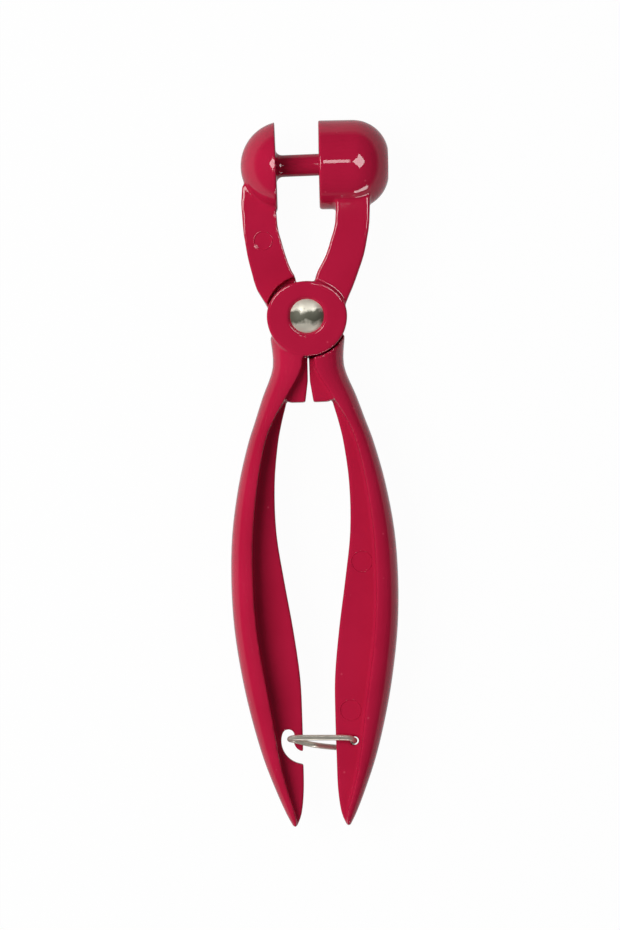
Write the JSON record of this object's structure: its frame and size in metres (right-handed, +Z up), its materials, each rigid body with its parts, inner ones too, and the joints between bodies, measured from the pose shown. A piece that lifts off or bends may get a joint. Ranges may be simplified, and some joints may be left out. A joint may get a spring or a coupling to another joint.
{
  "type": "olive pitter",
  "caption": "Plier-type olive pitter: two crossed cast levers on a rivet, a pin that enters a round cup, and a wire lock ring near the handle ends.",
  "frame": {"origin": "under the middle of the part as it lies flat, level with the lowest line of the cup", "axes": "+Y along the tool from the handle tips to the cup and dome, +X from the dome towards the cup, +Z up through the thickness, out of the rivet's domed head"},
  "size_m": [0.0425, 0.1762, 0.0222],
  "materials": {
    "red_lacquer": "gloss",
    "nickel": "satin",
    "spring_steel": "satin",
    "ring_wire": "satin"
  },
  "bodies": {
    "cup_lever": {"cup_lever": "red_lacquer", "pivot_rivet": "nickel", "rivet_washer": "nickel", "torsion_spring": "spring_steel"},
    "pin_lever": {"pin_lever": "red_lacquer"},
    "lock_ring": {"lock_ring": "ring_wire"}
  },
  "joints": [
    {"name": "lever_pivot", "type": "hinge", "parent": "cup_lever", "child": "pin_lever", "pos_m": [-0.00036, 0.03914, 0.0111], "axis": [0, 0, 1], "range_deg": [-1.2, 30], "deforming": ["torsion_spring"]},
    {"name": "ring_swing", "type": "hinge", "parent": "pin_lever", "child": "lock_ring", "pos_m": [0.0084, -0.06708, 0.0111], "axis": [0, 0, 1], "range_deg": [-20, 10]}
  ]
}
